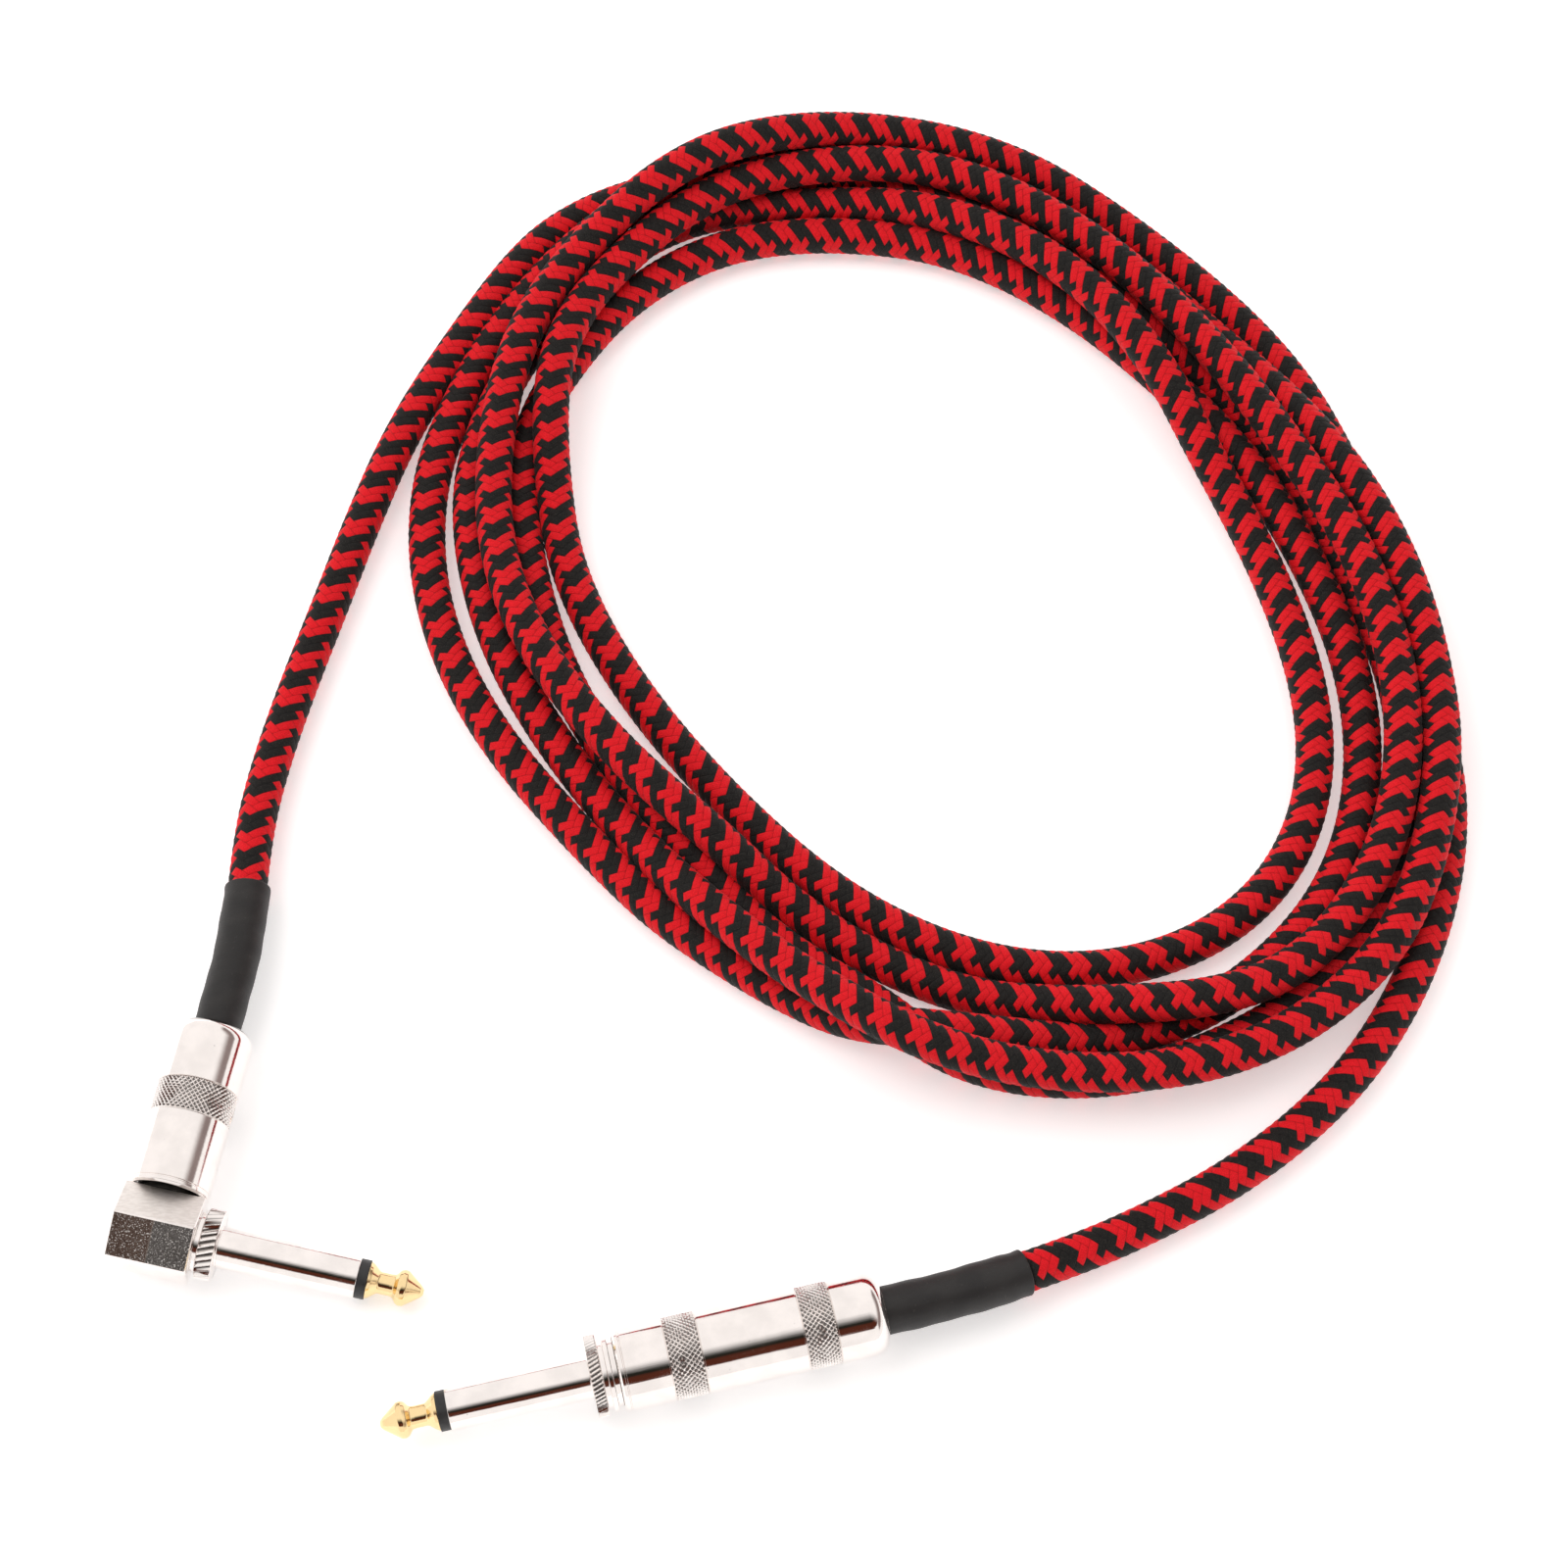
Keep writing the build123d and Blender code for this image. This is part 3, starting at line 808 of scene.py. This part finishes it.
def turned(points, closed, segments, relief=None, warp=None, dark_inside=0.0):
    """Vertices, faces and hollows of a solid turned about X.

    relief(x, r, angle) moves its surface outwards. Inside the radius dark_inside all of it is a hollow, where
    shade is painted.
    """
    count = len(points)
    x = np.array([point[0] for point in points], float)
    r = np.array([point[1] for point in points], float)
    angle = np.arange(segments) / segments * 2 * math.pi
    grid_r = np.repeat(r[:, None], segments, 1)
    hollows = np.zeros_like(grid_r)
    if relief:
        moved = relief(x[:, None], r[:, None], angle[None, :])
        grid_r = grid_r + moved
        hollows = np.clip(moved / min(moved.min(), -1e-6), 0, 1)
    grid_x = np.repeat(x[:, None], segments, 1)
    grid = np.stack([grid_x, grid_r * np.cos(angle), grid_r * np.sin(angle)], 2)
    vertices = grid.reshape(-1, 3)
    faces = []
    for index in range(count if closed else count - 1):
        here = index * segments
        there = ((index + 1) % count) * segments
        for spot in range(segments):
            after = (spot + 1) % segments
            faces.append((here + spot, here + after, there + after, there + spot))
    # painted shade in everything inside this radius
    if dark_inside:
        hollows = np.maximum(hollows, grid_r < dark_inside)
    if warp:
        vertices = warp(vertices)
    return vertices, faces, hollows.ravel()


def in_metres(vertices, place):
    """Local millimetre points in the row frame, in metres."""
    turn = np.array(place.to_3x3())
    move = np.array(place.translation)
    return ((vertices @ turn.T + move) * MM).tolist()


def add_turned(name, points, place, segments, material, body, slot, replaced, closed=True, **options):
    vertices, faces, hollows = turned(points, closed, segments, **options)
    piece = add_piece(name, in_metres(vertices, place), faces, [material], body, replaced, hollows)
    if not closed:
        # both ends of an open outline are on the axis
        shape = bmesh.new()
        shape.from_mesh(piece.data)
        bmesh.ops.remove_doubles(shape, verts=shape.verts, dist=1e-7)
        bmesh.ops.recalc_face_normals(shape, faces=shape.faces)
        shape.to_mesh(piece.data)
        shape.free()
    piece.data.set_sharp_from_angle(angle=math.radians(38))
    return piece


def zigzag(phase):
    """A triangle wave from 0 to 1 and back."""
    part = phase - np.floor(phase)
    return 1 - np.abs(2 * part - 1)


def thread(start, end, crest, depth):
    """Rings of a thread's profile; depth is negative for a groove cut into a bore."""
    points = []
    at = start
    while at < end - THREAD_PITCH * 0.6:
        points += [(at, crest), (at + THREAD_PITCH * 0.12, crest), (at + THREAD_PITCH * 0.5, crest - depth)]
        points += [(at + THREAD_PITCH * 0.58, crest - depth)]
        at += THREAD_PITCH
    return points


def tip_outline(rod_end):
    """A blunt cone, a bulb, a waist and a flare, on the rod that runs back through the shank."""
    return rounded([
        (TIP_X, 0), (TIP_X, 0.45, 0.3), (-31.05, 0.95, 0.4), (-28.75, 2.72, 0.5), (-28.1, 2.80, 0.4),
        (-27.55, 2.55, 0.5), (-26.95, 1.75, 0.5), (-26.3, 1.66, 0.5), (-24.6, 1.66, 0.6),
        (-23.45, 2.62, 0.35), (TIP_BACK_X, 2.85, 0.1), (TIP_BACK_X, ROD_R, 0),
        (rod_end, ROD_R, 0.2), (rod_end, 0),
    ], closed=False, steps=5)


def ring_outline(tube_end):
    return rounded([
        (TIP_BACK_X, TUBE_BORE_R), (TIP_BACK_X, RING_R, 0.08), (RING_BACK_X, RING_R, 0.08),
        (RING_BACK_X, TUBE_R), (tube_end, TUBE_R, 0.1), (tube_end, TUBE_BORE_R),
    ])


def serrations(length, radius, teeth, slant, depth):
    """Slanted teeth round a collar that starts at 0."""
    def relief(x, r, angle):
        phase = angle * teeth / (2 * math.pi) + x * slant
        on_rim = (x > 0.12) & (x < length - 0.12) & (r > radius - 0.05)
        return np.where(on_rim, -depth * zigzag(phase), 0.0)
    return relief


def collar_run(length, radius):
    """Points across a collar's rim, for its teeth."""
    return [(0.0, radius - 0.25), (0.12, radius - 0.05)] + run(0.16, length - 0.16, radius, 0.1) + [
        (length - 0.12, radius - 0.05), (length, radius - 0.25)]


def straight_shank_outline():
    start = STRAIGHT_BARREL[0]
    stub_end = start + THREAD_LENGTH
    front = [(RING_BACK_X, SHANK_BORE_R), (RING_BACK_X, SHANK_R, 0.12), (0, SHANK_R, 0.15)]
    neck = [
        (STRAIGHT_COLLAR[0], NECK_R, 0.12), (2.6, NECK_R, 0.1), (2.6, FLANGE_R, 0.1), (3.3, FLANGE_R, 0.1),
        (3.3, NECK_R, 0.1), (start, NECK_R, 0.12), (start, THREAD_R - THREAD_DEPTH, 0.1),
    ]
    back = [(stub_end, THREAD_R - THREAD_DEPTH, 0.1), (stub_end, SHANK_BORE_R)]
    collar = collar_run(*STRAIGHT_COLLAR)
    screw = thread(start + 0.7, stub_end - 0.2, THREAD_R, THREAD_DEPTH)
    return rounded(front + collar + neck + screw + back)


def angle_shank_outline():
    face = COLLAR_TO_HEAD - HEAD_LENGTH / 2
    front = [(RING_BACK_X, SHANK_BORE_R), (RING_BACK_X, SHANK_R, 0.12), (0, SHANK_R, 0.15)]
    back = [
        (ANGLE_COLLAR[0], 4.5, 0.1), (face, 4.5, 0.05), (face, SPIGOT_R, 0.05),
        (face + SPIGOT_LENGTH, SPIGOT_R, 0.1), (face + SPIGOT_LENGTH, SHANK_BORE_R),
    ]
    return rounded(front + collar_run(*ANGLE_COLLAR) + back)


def knurl(bands):
    """Crossed ridges with pits between them, inside the bands."""
    around = round(2 * math.pi * BARREL_R / KNURL_PITCH)

    def relief(x, r, angle):
        turn = angle * around / (2 * math.pi)
        ridge = np.maximum(zigzag(turn + x / KNURL_PITCH), zigzag(turn - x / KNURL_PITCH))
        pit = -KNURL_DEPTH * np.minimum((1 - ridge) * 1.7, 1.0)
        inside = np.zeros(np.broadcast(x, angle).shape, bool)
        for start, end in bands:
            inside |= (x > start + 0.02) & (x < end - 0.02) & (r > BARREL_R - 0.05)
        return np.where(inside, pit, 0.0)
    return relief


def barrel_outline(start, end, bands):
    """The barrel: screwed bore, knurled bands, grooves at the front edge and a rounded back."""
    bore = THREAD_R + RUNNING_GAP
    outside = [
        (start + 0.7, bore + 0.1, 0.1), (start + 0.5, BARREL_R - 0.75, 0.1), (start, BARREL_R - 0.65, 0.05),
        (start, BARREL_R - BARREL_EDGE, 0.1), (start + BARREL_EDGE, BARREL_R, 0.1),
        (start + 0.80, BARREL_R, 0.04), (start + 0.88, BARREL_R - 0.14), (start + 1.02, BARREL_R - 0.14),
        (start + 1.10, BARREL_R, 0.04),
    ]
    for first, last in bands:
        groove = [(first - 0.22, BARREL_R, 0.03), (first - 0.12, BARREL_R - 0.12), (first, BARREL_R, 0)]
        outside += groove + run(first + 0.03, last - 0.03, BARREL_R, 0.1)
        outside += [(last, BARREL_R, 0), (last + 0.12, BARREL_R - 0.12), (last + 0.22, BARREL_R, 0.03)]
    back = []
    for index in range(13):
        swing = index / 12 * math.pi / 2
        x = end - BARREL_REAR_ROUND * (1 - math.sin(swing))
        back.append((x, BARREL_R - BARREL_REAR_ROUND * (1 - math.cos(swing))))
    # the round meets the rear hole in a small bevel
    back[-1] = (end - 0.02, REAR_HOLE_R + 0.12)
    chamber = [
        (end - 0.12, REAR_HOLE_R, 0.05), (end - REAR_WALL, REAR_HOLE_R, 0.1),
        (end - REAR_WALL, CHAMBER_R, 0.3), (start + THREAD_LENGTH, CHAMBER_R, 0.1),
    ]
    screw = thread(start + 1.0, start + THREAD_LENGTH, bore, -THREAD_DEPTH)[::-1]
    guard = [(end - BARREL_REAR_ROUND - 0.06, BARREL_R)]
    return rounded(outside + guard + back + chamber + screw)


def bend_local(vertices, end, heading):
    """Bends the last stretch of a sleeve that would end here if it were straight."""
    start = end - SHRINK_BEND
    radius = SHRINK_BEND / SHRINK_TURN
    side = np.array([0, math.cos(heading), math.sin(heading)])
    along = np.array([1.0, 0, 0])
    past = np.maximum(vertices[:, 0] - start, 0.0)
    turn = past / radius
    kept = np.minimum(vertices[:, 0], start)
    inwards = vertices @ side
    other = vertices - vertices[:, :1] * along - inwards[:, None] * side
    reach = radius - inwards
    x = kept + reach * np.sin(turn)
    offset = radius - reach * np.cos(turn)
    return other + x[:, None] * along + offset[:, None] * side


def add_shrink(prefix, sizes, place, material):
    """A heat-shrink sleeve that hugs the cable, a little uneven, with a turned rim."""
    start, end, heading = sizes
    outside = run(start + 0.3, end - 0.45, SHRINK_R, 0.8)
    points = rounded(
        [(start, SHRINK_INNER_R + 0.02, 0.05), (start, SHRINK_R, 0.15)] + outside
        + [(end + 0.02, SHRINK_R - 0.02, 0.22), (end + 0.02, SHRINK_INNER_R + 0.02, 0.1)]
        + run(end - 0.6, start + 0.6, SHRINK_INNER_R + 0.02, 1.5))

    def relief(x, r, angle):
        swell = 0.045 * np.sin(x * 0.55 + 1.3 * np.sin(angle)) + 0.035 * np.sin(x * 1.3 + 2 * angle)
        lip = -0.10 * np.exp(-((x - end + 1.6) / 0.9) ** 2) * (1 + 0.4 * np.sin(3 * angle))
        return np.where(r > SHRINK_R - 0.3, swell - 0.05 + lip, 0.0)

    add_turned(
        prefix + "_shrink_sleeve", points, place, 72, material, "cable", "heat_shrink",
        [prefix + "_heat_shrink"], relief=relief, warp=lambda v: bend_local(v, end, heading))


def tool_object(name, vertices, faces):
    mesh = bpy.data.meshes.new(name)
    mesh.from_pydata(vertices, [], faces)
    shape = bmesh.new()
    shape.from_mesh(mesh)
    bmesh.ops.remove_doubles(shape, verts=shape.verts, dist=1e-5 * MM)
    bmesh.ops.recalc_face_normals(shape, faces=shape.faces)
    shape.to_mesh(mesh)
    shape.free()
    tool = bpy.data.objects.new(name, mesh)
    bpy.context.scene.collection.objects.link(tool)
    return tool


def rod_tool(name, place, axis, start, end, radius):
    """A closed cylinder along X or Z of a local frame."""
    points = [(start, 0), (start, radius), (end, radius), (end, 0)]
    vertices, faces, _ = turned(points, False, 64)
    if axis == "Z":
        vertices = np.stack([-vertices[:, 2], vertices[:, 1], vertices[:, 0]], 1)
    return tool_object(name, in_metres(vertices, place), faces)


def combine(piece, tool, operation):
    modifier = piece.modifiers.new("combine", "BOOLEAN")
    modifier.operation = operation
    modifier.object = tool
    modifier.solver = "EXACT"
    bpy.context.view_layer.update()
    shape = piece.evaluated_get(bpy.context.evaluated_depsgraph_get())
    made = bpy.data.meshes.new_from_object(shape)
    piece.modifiers.clear()
    old = piece.data
    piece.data = made
    bpy.data.meshes.remove(old)
    bpy.data.objects.remove(tool)


def make_head(place, materials):
    """The hexagonal head: a satin, a rough and bright faces, and the screwed stub; the rough face has painted
    reflection, the stub by the head painted shade.
    """
    corner_r = HEAD_FLATS / 2 / math.cos(math.radians(30))
    half = HEAD_LENGTH / 2
    shape = bmesh.new()
    rings = []
    for z in (-half, half):
        corners = [math.radians(30 + 60 * step) for step in range(6)]
        rings.append([shape.verts.new((corner_r * math.cos(a), corner_r * math.sin(a), z)) for a in corners])
    shape.faces.new(rings[0][::-1])
    shape.faces.new(rings[1])
    for step in range(6):
        after = (step + 1) % 6
        shape.faces.new((rings[0][step], rings[0][after], rings[1][after], rings[1][step]))
    bmesh.ops.recalc_face_normals(shape, faces=shape.faces)
    bmesh.ops.bevel(
        shape, geom=list(shape.edges), offset=HEAD_EDGE, segments=3, profile=0.6, affect="EDGES")
    shape.verts.index_update()
    faces = [tuple(vertex.index for vertex in face.verts) for face in shape.faces]
    vertices = np.array([vertex.co[:] for vertex in shape.verts])
    shape.free()
    head = tool_object("angle_head_block", in_metres(vertices, place), faces)
    stub_end = ANGLE_BARREL[0] + THREAD_LENGTH
    flat = HEAD_FLATS / 2
    stub = rounded(
        [(4.0, 0), (4.0, STUB_CORE_R, 0), (flat - 0.1, STUB_CORE_R, 0),
         (flat - 0.1, THREAD_R - THREAD_DEPTH, 0), (flat + 0.5, THREAD_R - THREAD_DEPTH, 0)]
        + thread(flat + 0.6, stub_end - 0.2, THREAD_R, THREAD_DEPTH)
        + [(stub_end, THREAD_R - THREAD_DEPTH, 0.1), (stub_end, 0)], closed=False)
    stub_vertices, stub_faces, _ = turned(stub, False, 96)
    combine(head, tool_object("stub", in_metres(stub_vertices, place), stub_faces), "UNION")
    spigot_hole = rod_tool("spigot_hole", place, "Z", half - SPIGOT_LENGTH, half + 1, SPIGOT_R + 0.02)
    combine(head, spigot_hole, "DIFFERENCE")
    combine(head, rod_tool("well", place, "Z", -1.2, half - 3.5, HEAD_BORE_R), "DIFFERENCE")
    combine(head, rod_tool("bore", place, "X", 0, stub_end + 1, HEAD_BORE_R), "DIFFERENCE")
    mesh = head.data
    mesh.materials.clear()
    for material in materials:
        mesh.materials.append(material)
    turn = np.array(place.to_3x3())
    for polygon in mesh.polygons:
        local = np.array(polygon.normal) @ turn
        heading = math.degrees(math.atan2(local[1], local[0]))
        middle = (np.array(polygon.center) / MM - np.array(place.translation)) @ turn
        flat_face = abs(local[2]) < 0.3 and np.hypot(middle[0], middle[1]) > 5.6 and abs(middle[2]) < half
        polygon.material_index = 0
        if flat_face and abs(heading - 60) < 12:
            polygon.material_index = 1
        # painted reflection: the face turned to 120 degrees gets the dark room's reflection in its colour
        if flat_face and abs(heading - 120) < 12:
            polygon.material_index = 2
        # painted shade: the stub where it leaves the head, in the gap under the barrel
        under_barrel = middle[0] > flat - 0.15 and local[0] < 0.3 and np.hypot(middle[1], middle[2]) < 4.75
        if under_barrel and middle[0] < flat + 0.9:
            polygon.material_index = 3
    mesh.polygons.foreach_set("use_smooth", [True] * len(mesh.polygons))
    mesh.set_sharp_from_angle(angle=math.radians(24))
    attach(head, "cable")
    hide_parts("angle_head")


# Where the plugs are

def place_from(x_axis, z_axis, origin):
    """A local frame in millimetres."""
    x_axis = Vector(x_axis).normalized()
    z_axis = (Vector(z_axis) - x_axis * x_axis.dot(Vector(z_axis))).normalized()
    y_axis = z_axis.cross(x_axis)
    turn = Matrix((x_axis, y_axis, z_axis)).transposed()
    return Matrix.Translation(origin) @ turn.to_4x4()


def plug_places():
    """The straight plug's frame, the angle plug's barrel frame and its shank's frame."""
    mounts = {mount["name"]: mount for mount in RECORD["mounts"]}
    joints = {joint["name"]: joint for joint in frame["joints"]}
    origins = {}
    for name in ("straight_shank", "angle_shank"):
        back = -Vector(mounts[name]["axis"]).normalized()
        origins[name] = Vector(mounts[name]["pos_m"]) / MM + back * SHANK_MIDDLE
    way = Vector(joints["angle_barrel_turn"]["axis"])
    shank = Vector(mounts["angle_shank"]["axis"]).normalized()
    straight = place_from(-Vector(mounts["straight_shank"]["axis"]), (0, 0, 1), origins["straight_shank"])
    head_middle = origins["angle_shank"] - shank * COLLAR_TO_HEAD
    barrel_end = place_from(way, shank, head_middle)
    shank_end = place_from(-shank, way, origins["angle_shank"])
    return straight, barrel_end, shank_end


def make_plugs(finishes):
    straight, barrel_end, shank_end = plug_places()
    add_turned(
        "straight_contact", tip_outline(13.2), straight, 72, finishes["gold_contact"], "cable",
        "gold_contact", ["straight_tip"], closed=False)
    add_turned(
        "angle_contact", tip_outline(10.8), shank_end, 72, finishes["gold_contact"], "cable",
        "gold_contact", ["angle_tip"], closed=False)
    add_turned(
        "straight_ring", ring_outline(11.8), straight, 72, finishes["black_insulator"], "cable",
        "black_insulator", ["straight_tip_insulator"])
    add_turned(
        "angle_ring", ring_outline(COLLAR_TO_HEAD - ANGLE_COLLAR[0]), shank_end, 72,
        finishes["black_insulator"], "cable", "black_insulator", ["angle_tip_insulator"])
    add_turned(
        "straight_shank", straight_shank_outline(), straight, FINE_SEGMENTS, finishes["bright_plate"],
        "cable", "bright_plate", ["straight_sleeve"], relief=serrations(*STRAIGHT_COLLAR, *STRAIGHT_TEETH))
    add_turned(
        "angle_shank", angle_shank_outline(), shank_end, FINE_SEGMENTS, finishes["bright_plate"],
        "cable", "bright_plate", ["angle_sleeve"], relief=serrations(*ANGLE_COLLAR, *ANGLE_TEETH))
    # painted shade: the rear hole's inside is dark
    add_turned(
        "straight_shell", barrel_outline(*STRAIGHT_BARREL, STRAIGHT_BANDS), straight, FINE_SEGMENTS,
        finishes["bright_barrel"], "straight_barrel", "bright_barrel", ["straight_barrel"],
        relief=knurl(STRAIGHT_BANDS), dark_inside=REAR_HOLE_R + 0.1)
    # painted shade: the front face's inner part, the screwed bore and the chamber are dark
    add_turned(
        "angle_shell", barrel_outline(*ANGLE_BARREL, ANGLE_BANDS), barrel_end, FINE_SEGMENTS,
        finishes["bright_barrel"], "angle_barrel", "bright_barrel", ["angle_barrel"],
        relief=knurl(ANGLE_BANDS), dark_inside=BARREL_R - 0.7)
    add_shrink("straight", STRAIGHT_SHRINK, straight, finishes["heat_shrink"])
    add_shrink("angle", ANGLE_SHRINK, barrel_end, finishes["heat_shrink"])
    shank = Vector(barrel_end.col[2][:3])
    origin = Vector(barrel_end.translation) * MM
    make_head(barrel_end, [finishes["cast_head"], satin_face(), reflection_painted_face(shank, origin), shaded_thread()])


def make_finishes():
    """A material for each of the record's slots."""
    nickel = (0.93, 0.885, 0.86)
    return {
        "gold_contact": metal("gold", (0.96, 0.74, 0.40), 0.09, depth=0.003),
        "black_insulator": plain_finish("insulator", (0.012, 0.012, 0.013), (0.022, 0.022, 0.023), 0.38),
        "bright_plate": metal("nickel", nickel, 0.07),
        "bright_barrel": metal("nickel_barrel", nickel, 0.06),
        "cast_head": metal("nickel_head", nickel, 0.14, wear=1.6, depth=0.008),
        "heat_shrink": shrink_finish(),
        "clear_liner": plain_finish(
            "liner", (0.78, 0.75, 0.68), (0.86, 0.84, 0.78), 0.25, Transmission_Weight=0.6),
        "plated_strip": metal("strip", (0.72, 0.70, 0.67), 0.28, wear=2.0, depth=0.01),
        "tinned_lug": metal("lug", (0.76, 0.72, 0.62), 0.3, wear=2.0, depth=0.01),
        "solder": metal("solder", (0.70, 0.71, 0.72), 0.22, wear=1.5, depth=0.01),
        "copper": metal("copper", (0.86, 0.46, 0.30), 0.3, wear=1.5, scratch=(1, 0.2, 0.2), depth=0.03),
        "dielectric": plain_finish("dielectric", (0.80, 0.80, 0.78), (0.88, 0.88, 0.86), 0.35),
        "fibre_insulation": plain_finish("fibre", (0.25, 0.12, 0.06), (0.38, 0.21, 0.11), 0.7, 0.5, 0.04),
        "woven_jacket": inner_braid(),
    }


def dress_frame(finishes):
    """Each carried-over CAD node gets its slot's material."""
    for part in RECORD["subparts"]:
        node = frame["nodes"].get(part["node"])
        if node is None:
            continue
        material = finishes[part["material_slot"]]
        if not node.material_slots:
            node.data.materials.append(material)
        for place in node.material_slots:
            place.material = material


scene = bpy.context.scene
scene.view_settings.view_transform = "Standard"
make_camera()
make_cable(braid_finish())
finishes = make_finishes()
dress_frame(finishes)
make_plugs(finishes)
make_world()
make_light("key", KEY_AT, KEY_TARGET, KEY_SIZE, KEY_POWER)
make_floor()
